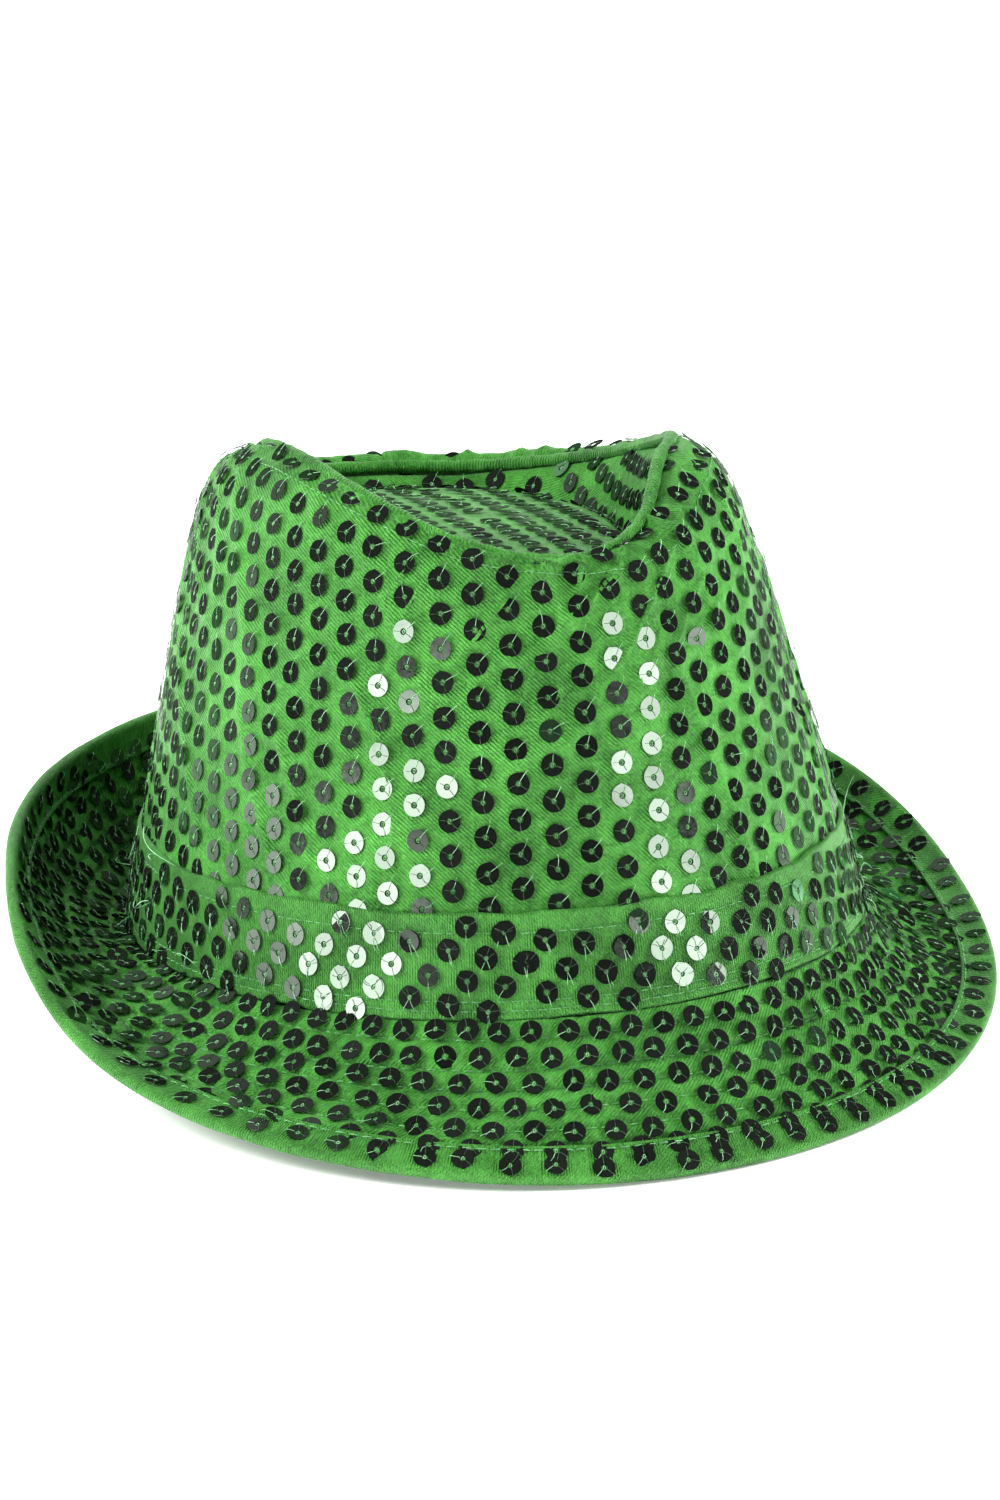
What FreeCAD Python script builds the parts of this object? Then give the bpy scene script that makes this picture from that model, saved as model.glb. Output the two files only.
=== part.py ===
"""A sequined satin trilby hat: crown, brim, hat band, linings and sweatband, each a separate piece.

The hat's own frame has its origin at the middle of the head opening, -Y to the front, +X to the
wearer's left and +Z up out of the opening. Angles around the hat start at the front and turn
towards +X. Every piece is built in that frame, and the whole hat is then tipped back onto its front
brim and the rear of the head opening, which is how it stands on a table.
"""
import FreeCAD
import Part
import math
import os

Vector = FreeCAD.Vector

# Driving dimensions: alias, value (mm or degrees), what it is.
DIMENSIONS = [
    ("head_half_width", 84.0, "half the crown's width at the head opening, outside the side panel"),
    ("head_half_length", 104.7, "half the crown's length at the head opening"),
    ("width_taper", 0.184, "loss of half width for each mm of height, at the base"),
    ("width_taper_growth", 0.00059, "growth of that loss with height"),
    ("length_taper", 0.18, "loss of half length for each mm of height, at the base"),
    ("length_taper_growth", 0.0005, "growth of that loss with height"),
    ("crown_lean", -3.4, "the crown leans this far to +X over the height below"),
    ("lean_span", 105.0, "height over which the crown leans"),
    ("opening_roll", 2.6, "the +X side of the head opening stands this much higher than its middle"),
    ("roll_fade", 60.0, "height at which that roll has faded away"),
    ("shoulder_height", 14.0, "height over which the crown's wall rounds in to its crest"),
    ("roll_crown", 1.2, "rise of the wall as it rolls over from the crest to the top seam"),
    ("brim_width", 38.8, "from the band to the outside of the edge binding"),
    ("satin_thick", 0.5, "sequined satin with its backing"),
    ("buckram_thick", 0.8, "stiffener"),
    ("lining_thick", 0.4, "lining cloth"),
    ("ply_gap", 0.1, "room between two layers"),
    ("band_thick", 1.0, "hat band, a folded strip"),
    ("band_height", 22.9, "hat band"),
    ("binding_width", 8.5, "how far the edge binding reaches onto the brim"),
    ("binding_thick", 0.5, "edge binding"),
    ("binding_nose", 0.9, "from the brim's cut edge to the outside of the binding"),
    ("sweatband_height", 32.0, "sweatband"),
    ("sweatband_drop", 2.6, "the sweatband's lower edge is this far under the head opening's plane"),
    ("sweatband_thick", 1.2, "sweatband"),
    ("tape_height", 1.7, "taped seam allowances between the crown and the brim"),
    ("welt_radius", 1.3, "rolled seam allowances along the top seam"),
    ("tip_middle_height", 92.6, "the sunk tip's middle, above the head opening"),
    ("tip_side_fall", 0.045, "fall of the tip towards +X for each mm"),
    ("tip_bulge", 0.0004, "fall of the tip away from its middle"),
    ("gutter_width", 0.07, "width of the gutter round the tip, as a share of the tip's radius"),
    ("gutter_lead", 0.02, "from the tip's flat to the middle of the gutter, in the same way"),
    ("rest_tilt", -7.17, "turn about X that stands the hat on its front brim and its rear opening"),
    ("rest_x", -1.07, "place of the opening's middle once the hat stands, X"),
    ("rest_y", 2.61, "the same, Y"),
    ("rest_z", 15.70, "the same, Z"),
]

# Dimensions that change around the hat, at equal angles from the front: name, values, what they are.
STATIONS = [
    ("brim_slope", [-52, -50, -38, -15, 26, 50, 66, 68, 58, 36, -15, -39.5], "mean slope, degrees"),
    ("brim_curl", [13, 30, 63, 80, 73, 62, 55, 62, 73, 80, 63, 30], "gain of slope to the rim, degrees"),
    ("crest_height", [94, 96.3, 107, 110.5, 107.3, 103, 99, 96.5,
                      97, 98.5, 102, 107.5, 112.3, 112, 106.2, 97.8], "crown's crest above the opening"),
    ("shoulder_in", [1.5, 1, 4, 6, 7, 6.5, 6, 5, 5, 5, 6, 6.5, 7, 5, 2.5, 1.5], "crest inside the wall"),
    ("seam_in", [3, 8, 8, 5, 4, 4, 4, 4, 4, 4, 4, 4, 2.5, 2.5, 2.5, 2.5], "top seam inside the crest"),
    ("seam_rise", [0, 2, 2.5, 0.5, -1, -3, -4, -4, -4, -4, -4, -3, -0.5, -0.2, 0, 0], "seam over crest"),
    ("dent_start", [0.89, 0.88, 0.84, 0.79, 0.77, 0.79, 0.83, 0.86,
                    0.87, 0.86, 0.83, 0.77, 0.7, 0.68, 0.74, 0.85], "share of the radius that lies flat"),
    ("gutter_depth", [0, 1, 3, 5, 5, 5, 5, 5, 5, 5, 4, 4, 3, 2, 1, 0], "gutter round the tip"),
]

RING_POINTS = 48  # points on each closed curve around the hat


# ---------------------------------------------------------------- the sheet

def make_sheet(doc):
    """Writes the driving dimensions to a spreadsheet, one aliased cell each."""
    sheet = doc.addObject("Spreadsheet::Sheet", "Dimensions")
    rows = list(DIMENSIONS)
    for name, values, meaning in STATIONS:
        for k, value in enumerate(values):
            rows.append((f"{name}_{k}_of_{len(values)}", value, meaning))
    for row, (alias, value, meaning) in enumerate(rows, start=1):
        sheet.set(f"A{row}", meaning)
        sheet.set(f"B{row}", str(value))
        sheet.setAlias(f"B{row}", alias)
    doc.recompute()
    return sheet


class Sizes:
    """The sheet's values, read back by name."""

    def __init__(self, sheet):
        for alias, _, _ in DIMENSIONS:
            setattr(self, alias, float(getattr(sheet, alias)))
        self.stations = {}
        for name, values, _ in STATIONS:
            count = len(values)
            cells = [float(getattr(sheet, f"{name}_{k}_of_{count}")) for k in range(count)]
            self.stations[name] = cells

    def around(self, name, angle):
        """A station dimension at any angle, by a smooth closed curve through its values."""
        values = self.stations[name]
        count = len(values)
        place = angle / (2 * math.pi) * count
        k = math.floor(place)
        f = place - k
        before, here, after, beyond = (values[(k + i) % count] for i in (-1, 0, 1, 2))
        square = (2 * before - 5 * here + 4 * after - beyond) * f * f
        cube = (3 * here - before - 3 * after + beyond) * f ** 3
        return 0.5 * (2 * here + (after - before) * f + square + cube)


# ---------------------------------------------------------------- the hat's surfaces

def clamp(value):
    return min(1.0, max(0.0, value))


def outward(size, angle, height=0.0):
    """The level unit vector that points straight out of the crown's oval."""
    half_width, half_length = oval(size, height)
    n = Vector(half_length * math.sin(angle), -half_width * math.cos(angle), 0)
    return n.normalize()


def oval(size, height):
    """Half width and half length of the crown at a height."""
    width = size.head_half_width - size.width_taper * height - size.width_taper_growth * height ** 2
    length = size.head_half_length - size.length_taper * height - size.length_taper_growth * height ** 2
    return width, length


def wall(size, angle, height, out=0.0):
    """A point of the crown's side, moved level outward by out."""
    half_width, half_length = oval(size, height)
    lean = size.crown_lean * height / size.lean_span
    roll = size.opening_roll * math.sin(angle) * clamp(1 - height / size.roll_fade)
    shoulder_foot = size.around("crest_height", angle) - size.shoulder_height
    up = clamp((height - shoulder_foot) / size.shoulder_height)
    out = out - size.around("shoulder_in", angle) * (1 - math.sqrt(1 - up * up))
    point = Vector(half_width * math.sin(angle) + lean, -half_length * math.cos(angle), height + roll)
    return point + outward(size, angle, height) * out


def seam(size, angle):
    """A point of the seam that joins the crown's side to its tip."""
    point = wall(size, angle, size.around("crest_height", angle), -size.around("seam_in", angle))
    point.z += size.around("seam_rise", angle)
    return point


def crown_side(size, angle, along, depth):
    """A point of the crown's side: along is 0 at the opening, 1 at the crest and 2 at the top seam.
    depth is measured inward, square to the cloth."""
    crest_height = size.around("crest_height", angle)
    if along <= 1:
        height = along * crest_height
        point = wall(size, angle, height)
        up = clamp((height - crest_height + size.shoulder_height) / size.shoulder_height)
        lean = math.radians(70) * up
    else:
        over = along - 1
        crest = wall(size, angle, crest_height)
        point = crest + (seam(size, angle) - crest) * over
        point.z += size.roll_crown * math.sin(math.pi * over)
        lean = math.radians(70 + 20 * over)
    inward = outward(size, angle, min(along, 1) * crest_height) * -math.cos(lean)
    return point + (inward - Vector(0, 0, math.sin(lean))) * depth


def tip_top(size, angle, share):
    """A point of the sunk tip's upper face: share is 0 in the middle and 1 at the top seam."""
    edge = seam(size, angle)
    x = edge.x * share
    y = edge.y * share
    flat = size.tip_middle_height - size.tip_side_fall * x - size.tip_bulge * (x * x + y * y)
    start = size.around("dent_start", angle)
    climb = clamp((share - start) / (1 - start))
    climb = climb * climb * (3 - 2 * climb)
    gutter = size.around("gutter_depth", angle)
    gutter *= math.exp(-((share - start - size.gutter_lead) / size.gutter_width) ** 2)
    return Vector(x, y, flat - gutter + (edge.z - flat) * climb)


def tip(size, angle, share, depth):
    """A point of the sunk tip at a depth square to its upper face."""
    step = 0.001
    point = tip_top(size, angle, share)
    along = tip_top(size, angle + step, share) - point
    outward_step = point - tip_top(size, angle, share - step)
    return point - outward_step.cross(along).normalize() * depth


def brim(size, angle, across, up):
    """A point of the brim: across is the distance from the band, up is square to the brim's top."""
    root = wall(size, angle, 0, size.band_thick + size.ply_gap)
    bend = math.radians(size.around("brim_curl", angle)) / size.brim_width
    first = math.radians(size.around("brim_slope", angle)) - bend * size.brim_width / 2
    here = first + bend * across
    out = (math.sin(here) - math.sin(first)) / bend - up * math.sin(here)
    rise = (math.cos(first) - math.cos(here)) / bend + up * math.cos(here)
    return root + outward(size, angle) * out + Vector(0, 0, rise)


# ---------------------------------------------------------------- solids from closed curves

def ring(place):
    """A closed smooth curve through place(angle) all round the hat, starting at the back."""
    angles = [math.pi + 2 * math.pi * k / RING_POINTS for k in range(RING_POINTS)]
    shares = [k / RING_POINTS for k in range(RING_POINTS + 1)]
    curve = Part.BSplineCurve()
    curve.interpolate(Points=[place(angle) for angle in angles], PeriodicFlag=True, Parameters=shares)
    return curve


def skin(rings):
    """The smooth surface through closed curves, or the straight one between two, as a face."""
    pole_rows = [curve.getPoles() for curve in rings]
    levels = [0.0]
    for below, above in zip(pole_rows, pole_rows[1:]):
        gaps = [(p - q).Length for p, q in zip(below, above)]
        levels.append(levels[-1] + sum(gaps) / len(gaps))
    columns = []
    for column_poles in zip(*pole_rows):
        column = Part.BSplineCurve()
        column.interpolate(Points=list(column_poles), Parameters=levels)
        columns.append(column)
    surface = Part.BSplineSurface()
    surface.buildFromPolesMultsKnots(
        [column.getPoles() for column in columns],
        rings[0].getMultiplicities(), columns[0].getMultiplicities(),
        rings[0].getKnots(), columns[0].getKnots(), True, False,
        rings[0].Degree, columns[0].Degree)
    return surface.toShape()


def solid_from(faces):
    """Sews faces into one closed solid."""
    shell = Part.makeShell(faces)
    shell.sewShape()
    solid = Part.Solid(Part.Shell(shell.Faces))
    if solid.Volume < 0:
        solid.reverse()
    return solid


def ring_solid(strips):
    """A ring-shaped solid whose cross-section is bounded by strips, each a list of closed curves
    that starts where the one before it ends."""
    return solid_from([skin(strip) for strip in strips])


def sheet_ring(outside, inside):
    """A ring of cloth between two lists of closed curves."""
    edges = [[outside[-1], inside[-1]], [inside[0], outside[0]]]
    return ring_solid([outside, edges[0], inside, edges[1]])


# ---------------------------------------------------------------- the pieces

def side_layer(size, top, depth, thick):
    """One layer of the crown's side, from the opening up to the station called top."""
    steps = [0, 0.2, 0.4, 0.6, 0.75, 0.86, 0.92, 0.96, 0.985, 1.0, 1.3, 1.6, 1.9]
    steps = [step for step in steps if step <= top]

    def curves(at):
        return [ring(lambda a, s=step: crown_side(size, a, s, at)) for step in steps]

    return sheet_ring(curves(depth), curves(depth + thick))


def tip_layer(size, edge_climb, depth, thick):
    """One layer of the sunk tip, with a flat round patch at its middle. Its rings follow the flat's
    edge, and it ends at a share of the climb from there to the top seam."""
    middle_share = 0.08
    flats = [0.3, 0.5, 0.68, 0.82, 0.92, 1.0]
    climbs = [0.12, 0.26, 0.42, 0.6, 0.78, edge_climb]

    def share_at(angle, flat, climb):
        start = size.around("dent_start", angle)
        return start * flat + (1 - start) * climb

    def curves(at):
        level = size.tip_middle_height - at
        first = ring(lambda a: Vector(seam(size, a).x * middle_share, seam(size, a).y * middle_share, level))
        stops = [(flat, 0.0) for flat in flats] + [(1.0, climb) for climb in climbs]
        return [first] + [ring(lambda a, s=stop: tip(size, a, share_at(a, *s), at)) for stop in stops]

    top, under = curves(depth), curves(depth + thick)
    faces = [skin(top), skin(under), skin([top[-1], under[-1]])]
    middles = [Part.Face(Part.Wire(curve.toShape())) for curve in (top[0], under[0])]
    return solid_from(faces + middles)


def brim_layer(size, depth, thick):
    """One layer of the brim, from the band to the cut edge inside the binding."""
    edge = size.brim_width - size.binding_nose
    steps = [edge * k / 6 for k in range(7)]

    def curves(at):
        return [ring(lambda a, s=step: brim(size, a, s, -at)) for step in steps]

    return sheet_ring(curves(depth), curves(depth + thick))


def edge_binding(size):
    """The strip that wraps the brim's edge, a U in section that clears the brim's layers."""
    outer_edge = size.brim_width
    inner_edge = size.brim_width - size.binding_width
    cut_edge = outer_edge - size.binding_nose + size.ply_gap
    stack = size.satin_thick + size.buckram_thick + size.lining_thick + 2 * size.ply_gap
    top, under = size.ply_gap, -stack - size.ply_gap
    thick = size.binding_thick

    def curve(across, up):
        return ring(lambda a: brim(size, a, across, up))

    steps = [inner_edge + (outer_edge - 1.2 - inner_edge) * k / 3 for k in range(4)]
    over = [curve(s, top + thick) for s in steps]
    nose = [over[-1], curve(outer_edge, top - 0.4), curve(outer_edge, under + 0.4)]
    below = [curve(s, under - thick) for s in reversed(steps)]
    back = [inner_edge + (cut_edge - inner_edge) * k / 3 for k in range(4)]
    inside_low = [curve(s, under) for s in back]
    inside_top = [curve(s, top) for s in reversed(back)]
    strips = [over, nose[:2], nose[1:], [nose[-1], below[0]], below, [below[-1], inside_low[0]], inside_low,
              [inside_low[-1], inside_top[0]], inside_top, [inside_top[-1], over[0]]]
    return ring_solid(strips)


def hat_band(size):
    """The strip round the foot of the crown."""
    steps = [0.3 + (size.band_height - 0.3) * k / 3 for k in range(4)]

    def curves(out):
        return [ring(lambda a, h=step: wall(size, a, h, out)) for step in steps]

    return sheet_ring(curves(size.ply_gap + size.band_thick), curves(size.ply_gap))


def seam_welt(size):
    """The rolled seam allowances that stand up along the top seam."""
    sides = 8

    def curve(turn):
        across = size.welt_radius * math.cos(turn)
        up = size.welt_radius * math.sin(turn) + 0.4
        return ring(lambda a: seam(size, a) + outward(size, a) * across + Vector(0, 0, up))

    curves = [curve(2 * math.pi * k / sides) for k in range(sides)]
    return ring_solid([[curves[k], curves[(k + 1) % sides]] for k in range(sides)])


def seam_tape(size):
    """The taped seam allowances that close the joint of crown and brim under the crown's layers."""
    stack = size.satin_thick + size.buckram_thick + size.lining_thick + 2 * size.ply_gap

    def curve(out, height):
        return ring(lambda a: wall(size, a, 0, out) + Vector(0, 0, height))

    top, low = -size.ply_gap, -size.ply_gap - size.tape_height
    outer = [curve(size.band_thick - 0.2, top), curve(size.band_thick - 0.2, low)]
    inner = [curve(-stack, top), curve(-stack, low)]
    return ring_solid([outer, [outer[1], inner[1]], inner, [inner[0], outer[0]]])


def freeform(doc, label, shape):
    """Adds a piece whose shape is a sewn freeform shell."""
    piece = doc.addObject("Part::Feature", label)
    piece.Label = label
    piece.Shape = shape
    return piece


def sweatband(doc, sheet_name):
    """The sweatband: one tapered oval tube cut out of another, sized by the sheet's cells."""
    def cell(alias):
        return f"{sheet_name}.{alias}"

    plies = f"{cell('satin_thick')} + {cell('buckram_thick')} + {cell('lining_thick')} + 3 * {cell('ply_gap')}"
    low = f"0 - {cell('sweatband_drop')}"
    high = f"{cell('sweatband_height')} - {cell('sweatband_drop')}"

    def half(side_name, level, inset):
        taper = f"{cell(side_name + '_taper')} * ({level}) + {cell(side_name + '_taper_growth')} * ({level}) ^ 2"
        return f"{cell('head_half_' + side_name)} - ({taper}) - ({inset})"

    def oval_curve(name, level, inset):
        curve = doc.addObject("Part::Ellipse", name)
        curve.setExpression("MajorRadius", half("length", level, inset))
        curve.setExpression("MinorRadius", half("width", level, inset))
        curve.Placement = FreeCAD.Placement(Vector(), FreeCAD.Rotation(Vector(0, 0, 1), 90))
        curve.setExpression(".Placement.Base.z", level)
        curve.setExpression(".Placement.Base.x", f"{cell('crown_lean')} * ({level}) / {cell('lean_span')}")
        return curve

    def tube(name, inset):
        loft = doc.addObject("Part::Loft", name)
        loft.Sections = [oval_curve(name + "Low", low, inset), oval_curve(name + "High", high, inset)]
        loft.Solid = True
        loft.Ruled = True
        return loft

    piece = doc.addObject("Part::Cut", "sweatband")
    piece.Base = tube("SweatbandOuter", plies)
    piece.Tool = tube("SweatbandInner", f"{plies} + {cell('sweatband_thick')}")
    piece.Label = "sweatband"
    return piece


def main():
    doc = FreeCAD.newDocument("trilby")
    sheet = make_sheet(doc)
    size = Sizes(sheet)
    satin, gap = size.satin_thick, size.ply_gap
    stiff_depth = satin + gap
    lining_depth = stiff_depth + size.buckram_thick + gap

    pieces = [
        freeform(doc, "crown_side_panel", side_layer(size, 1.9, 0, satin)),
        freeform(doc, "crown_side_buckram", side_layer(size, 1.3, stiff_depth, size.buckram_thick)),
        freeform(doc, "crown_side_lining", side_layer(size, 1.0, lining_depth, size.lining_thick)),
        freeform(doc, "crown_tip_panel", tip_layer(size, 0.9, 0, satin)),
        freeform(doc, "crown_tip_buckram", tip_layer(size, 0.86, stiff_depth, size.buckram_thick)),
        freeform(doc, "crown_tip_lining", tip_layer(size, 0.82, lining_depth, size.lining_thick)),
        freeform(doc, "crown_seam_welt", seam_welt(size)),
        freeform(doc, "brim_top_fabric", brim_layer(size, 0, satin)),
        freeform(doc, "brim_buckram", brim_layer(size, stiff_depth, size.buckram_thick)),
        freeform(doc, "brim_under_fabric", brim_layer(size, lining_depth, size.lining_thick)),
        freeform(doc, "brim_edge_binding", edge_binding(size)),
        freeform(doc, "hat_band", hat_band(size)),
        freeform(doc, "headline_seam_tape", seam_tape(size)),
    ]
    stand = FreeCAD.Placement(Vector(size.rest_x, size.rest_y, size.rest_z),
                              FreeCAD.Rotation(Vector(1, 0, 0), size.rest_tilt))
    for piece in pieces:
        piece.Placement = stand
    band = sweatband(doc, "Dimensions")
    roll = math.degrees(math.atan2(size.opening_roll, size.head_half_width))
    rolled = FreeCAD.Placement(Vector(), FreeCAD.Rotation(Vector(0, 1, 0), -roll))
    band.Placement = stand.multiply(rolled)
    pieces.append(band)
    doc.recompute()

    for item in doc.Objects:
        faults = [state for state in item.State if state in ("Invalid", "Error")]
        if faults:
            raise RuntimeError(f"{item.Label} is {faults}")
    os.makedirs("parts", exist_ok=True)
    box = FreeCAD.BoundBox()
    for piece in pieces:
        shape = piece.Shape
        if shape.isNull() or not shape.isValid() or len(shape.Solids) != 1:
            raise RuntimeError(f"{piece.Label} isn't one valid solid")
        box.add(shape.BoundBox)
        print(f"{piece.Label:22s} {shape.Volume / 1000:8.2f} cm3")
        shape.exportStep(f"parts/{piece.Label}.step")
    print("box", box)


main()
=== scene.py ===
import bpy
import math
import numpy as np
from mathutils import Matrix, Vector


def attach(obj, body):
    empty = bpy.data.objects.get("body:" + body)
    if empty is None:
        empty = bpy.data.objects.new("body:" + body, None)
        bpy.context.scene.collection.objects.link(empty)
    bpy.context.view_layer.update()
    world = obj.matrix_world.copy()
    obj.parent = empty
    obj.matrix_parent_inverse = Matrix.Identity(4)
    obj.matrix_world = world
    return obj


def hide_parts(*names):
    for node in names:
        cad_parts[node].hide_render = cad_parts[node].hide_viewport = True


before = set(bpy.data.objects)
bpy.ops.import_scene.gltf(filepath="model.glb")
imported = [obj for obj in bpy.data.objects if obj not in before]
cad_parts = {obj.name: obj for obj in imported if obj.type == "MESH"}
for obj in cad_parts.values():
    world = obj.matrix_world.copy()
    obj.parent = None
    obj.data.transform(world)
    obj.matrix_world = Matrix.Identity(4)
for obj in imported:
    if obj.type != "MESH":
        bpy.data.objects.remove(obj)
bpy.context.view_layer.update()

# The hat is built in its own frame, in millimetres: the origin is the middle of the head opening,
# -Y the front, +X the wearer's left, +Z up. Angles start at the front and turn towards +X.
# stand() then tips it onto its front brim, as it rests, and turns it into metres.
HEAD_HALF_WIDTH = 84.0
HEAD_HALF_LENGTH = 104.7
WIDTH_TAPER = 0.184
WIDTH_TAPER_GROWTH = 0.00059
LENGTH_TAPER = 0.18
LENGTH_TAPER_GROWTH = 0.0005
CROWN_LEAN = -3.4
LEAN_SPAN = 105.0
OPENING_ROLL = 2.6
ROLL_FADE = 60.0
SHOULDER_HEIGHT = 14.0
ROLL_CROWN = 1.2
BRIM_WIDTH = 38.8
SATIN = 0.5
BUCKRAM = 0.8
LINING = 0.4
GAP = 0.1
BAND_THICK = 1.0
BAND_HEIGHT = 22.9
BINDING_WIDTH = 8.5
BINDING_THICK = 0.5
BINDING_NOSE = 0.9
SWEATBAND_HEIGHT = 32.0
SWEATBAND_DROP = 2.6
SWEATBAND_THICK = 1.2
TIP_MIDDLE_HEIGHT = 92.6
TIP_SIDE_FALL = 0.045
TIP_BULGE = 0.0004
GUTTER_WIDTH = 0.07
GUTTER_LEAD = 0.02
REST_TILT = math.radians(-7.17)
REST_SHIFT = (-1.07, 2.61, 15.70)

# Sizes that change around the hat, at equal angles from the front.
BRIM_SLOPE = [-52, -50, -38, -15, 26, 50, 66, 68, 58, 36, -15, -39.5]
BRIM_CURL = [13, 30, 63, 80, 73, 62, 55, 62, 73, 80, 63, 30]
CREST_HEIGHT = [94, 96.3, 107, 110.5, 107.3, 103, 99, 96.5,
                97, 98.5, 102, 107.5, 112.3, 112, 106.2, 97.8]
SHOULDER_IN = [1.5, 1, 4, 6, 7, 6.5, 6, 5, 5, 5, 6, 6.5, 7, 5, 2.5, 1.5]
SEAM_IN = [3, 8, 8, 5, 4, 4, 4, 4, 4, 4, 4, 4, 2.5, 2.5, 2.5, 2.5]
SEAM_RISE = [0, 2, 2.5, 0.5, -1, -3, -4, -4, -4, -4, -4, -3, -0.5, -0.2, 0, 0]
DENT_START = [0.89, 0.88, 0.84, 0.79, 0.77, 0.79, 0.83, 0.86,
              0.87, 0.86, 0.83, 0.77, 0.7, 0.68, 0.74, 0.85]
GUTTER_DEPTH = [0, 1, 3, 5, 5, 5, 5, 5, 5, 5, 4, 4, 3, 2, 1, 0]

# The flat cloth.
FAN_RADIUS = 375.0  # the side panel is cut as a part of a ring this far from its centre at the opening
GRID_TURN = -0.065  # the sequins' grid is a little off the middle of the panel
COLUMN_GAP = 7.54  # between two columns of sequins
ROW_GAP = 7.55  # between two sequins of one column
GRID_X = 1.09
GRID_Y = 1.02
SEQUIN_RADIUS = 2.5
SEQUIN_HOLE = 0.74
SEQUIN_THICK = 0.12
SEQUIN_SIDES = 20
PALE_SEQUINS = 0.02  # the share of sequins with a paler film
BRIM_STITCHES = [4.0, 11.2, 15.8, 20.6, 25.8, 30.2]  # rows of topstitching, from the band
BAND_STITCHES = [2.3, 4.2, 18.6]  # rows on the band, above its lower edge


# ---------------------------------------------------------------- the hat's surfaces

def around(values, angle):
    """A size at any angle, by a smooth closed curve through its values."""
    values = np.asarray(values, float)
    count = len(values)
    place = np.asarray(angle) / (2 * math.pi) * count
    k = np.floor(place).astype(int)
    f = place - k
    before, here, after, beyond = (values[(k + i) % count] for i in (-1, 0, 1, 2))
    square = (2 * before - 5 * here + 4 * after - beyond) * f * f
    cube = (3 * here - before - 3 * after + beyond) * f ** 3
    return 0.5 * (2 * here + (after - before) * f + square + cube)


def vectors(x, y, z):
    return np.stack(np.broadcast_arrays(x, y, z), -1)


def unit(v):
    return v / np.linalg.norm(v, axis=-1, keepdims=True)


def oval(height):
    width = HEAD_HALF_WIDTH - WIDTH_TAPER * height - WIDTH_TAPER_GROWTH * height ** 2
    length = HEAD_HALF_LENGTH - LENGTH_TAPER * height - LENGTH_TAPER_GROWTH * height ** 2
    return width, length


def outward(angle, height=0.0):
    """The level direction straight out of the crown's oval."""
    width, length = oval(height)
    return unit(vectors(length * np.sin(angle), -width * np.cos(angle), 0.0))


def wall(angle, height, out=0.0):
    """A point of the crown's side, moved level outward by out."""
    angle, height = np.broadcast_arrays(np.asarray(angle, float), np.asarray(height, float))
    width, length = oval(height)
    lean = CROWN_LEAN * height / LEAN_SPAN
    roll = OPENING_ROLL * np.sin(angle) * np.clip(1 - height / ROLL_FADE, 0, 1)
    up = np.clip((height - around(CREST_HEIGHT, angle) + SHOULDER_HEIGHT) / SHOULDER_HEIGHT, 0, 1)
    out = out - around(SHOULDER_IN, angle) * (1 - np.sqrt(1 - up * up))
    point = vectors(width * np.sin(angle) + lean, -length * np.cos(angle), height + roll)
    return point + outward(angle, height) * out[..., None]


def seam(angle):
    """The seam between the crown's side and its tip."""
    point = wall(angle, around(CREST_HEIGHT, angle), -around(SEAM_IN, angle))
    point[..., 2] += around(SEAM_RISE, angle)
    return point


def side(angle, along):
    """The crown's side: along is 0 at the opening, 1 at the crest and 2 at the top seam."""
    angle, along = np.broadcast_arrays(np.asarray(angle, float), np.asarray(along, float))
    crest_height = around(CREST_HEIGHT, angle)
    low = wall(angle, np.minimum(along, 1) * crest_height)
    over = np.clip(along - 1, 0, 1)[..., None]
    high = low + (seam(angle) - low) * over
    high[..., 2] += ROLL_CROWN * np.sin(np.pi * over[..., 0])
    return np.where(over > 0, high, low)


def tip(angle, share):
    """The sunk tip: share is 0 in the middle and 1 at the top seam."""
    angle, share = np.broadcast_arrays(np.asarray(angle, float), np.asarray(share, float))
    edge = seam(angle)
    x = edge[..., 0] * share
    y = edge[..., 1] * share
    flat = TIP_MIDDLE_HEIGHT - TIP_SIDE_FALL * x - TIP_BULGE * (x * x + y * y)
    start = around(DENT_START, angle)
    climb = np.clip((share - start) / (1 - start), 0, 1)
    climb = climb * climb * (3 - 2 * climb)
    gutter = around(GUTTER_DEPTH, angle) * np.exp(-((share - start - GUTTER_LEAD) / GUTTER_WIDTH) ** 2)
    return vectors(x, y, flat - gutter + (edge[..., 2] - flat) * climb)


def brim(angle, across):
    """The brim's top: across is the distance from the band."""
    angle, across = np.broadcast_arrays(np.asarray(angle, float), np.asarray(across, float))
    root = wall(angle, 0.0, np.full(angle.shape, BAND_THICK + GAP))
    bend = np.radians(around(BRIM_CURL, angle)) / BRIM_WIDTH
    first = np.radians(around(BRIM_SLOPE, angle)) - bend * BRIM_WIDTH / 2
    here = first + bend * across
    out = (np.sin(here) - np.sin(first)) / bend
    rise = (np.cos(first) - np.cos(here)) / bend
    point = root + outward(angle) * out[..., None]
    point[..., 2] += rise
    return point


def band(angle, height):
    """The outside of the hat band."""
    angle, height = np.broadcast_arrays(np.asarray(angle, float), np.asarray(height, float))
    return wall(angle, height, np.full(angle.shape, GAP + BAND_THICK))


def facing(surface, angle, place):
    """The outward direction square to a surface."""
    step = 1e-3
    around_it = surface(angle + step, place) - surface(angle - step, place)
    up_it = surface(angle, place + step) - surface(angle, place - step)
    return unit(np.cross(around_it, up_it))


def side_facing(angle, along):
    return facing(side, angle, np.clip(along, 0.002, 1.997))


def tip_facing(angle, share):
    return -facing(tip, angle, np.clip(share, 0.02, 0.998))


def brim_facing(angle, across):
    return -facing(brim, angle, across)


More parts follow.
